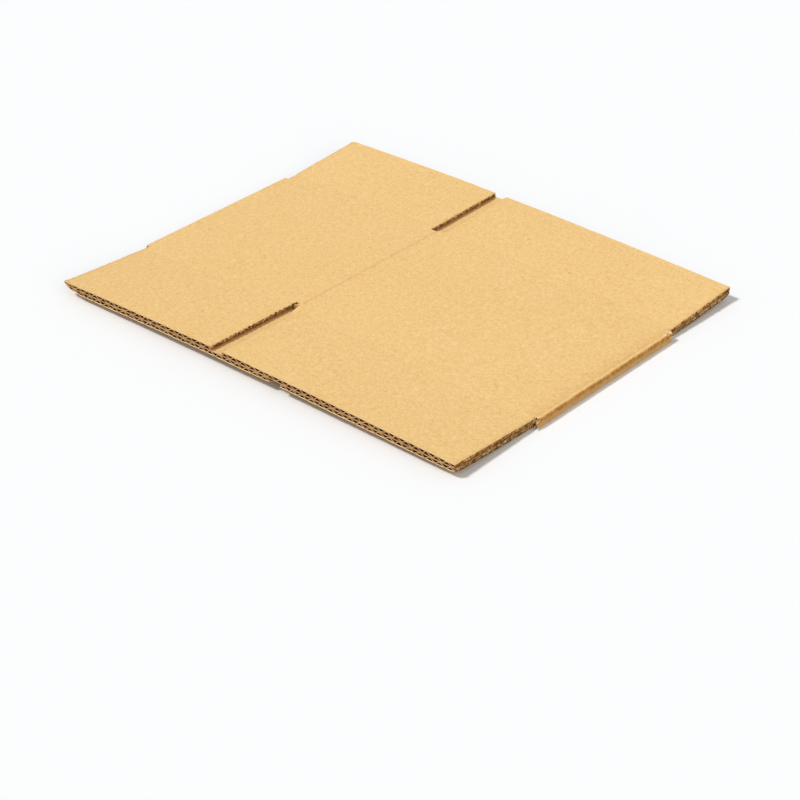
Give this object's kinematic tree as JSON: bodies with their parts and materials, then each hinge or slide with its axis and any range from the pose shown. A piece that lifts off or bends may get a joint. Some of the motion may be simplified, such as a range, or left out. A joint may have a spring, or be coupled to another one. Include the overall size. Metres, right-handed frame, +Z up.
{
  "type": "flattened cardboard box",
  "caption": "Slotted shipping box of single-wall corrugated board, folded flat, with wavy flute ends at its flap edges.",
  "frame": {"origin": "on the floor, below the middle of the folded box", "axes": "+X from fold to fold, +Y along the flutes from flap edge to flap edge, +Z up out of the top face"},
  "size_m": [0.2754, 0.236, 0.0104],
  "materials": {
    "corrugated_board": "matt brown kraft"
  },
  "bodies": {
    "root": {"flattened_box": "corrugated_board"}
  },
  "joints": []
}
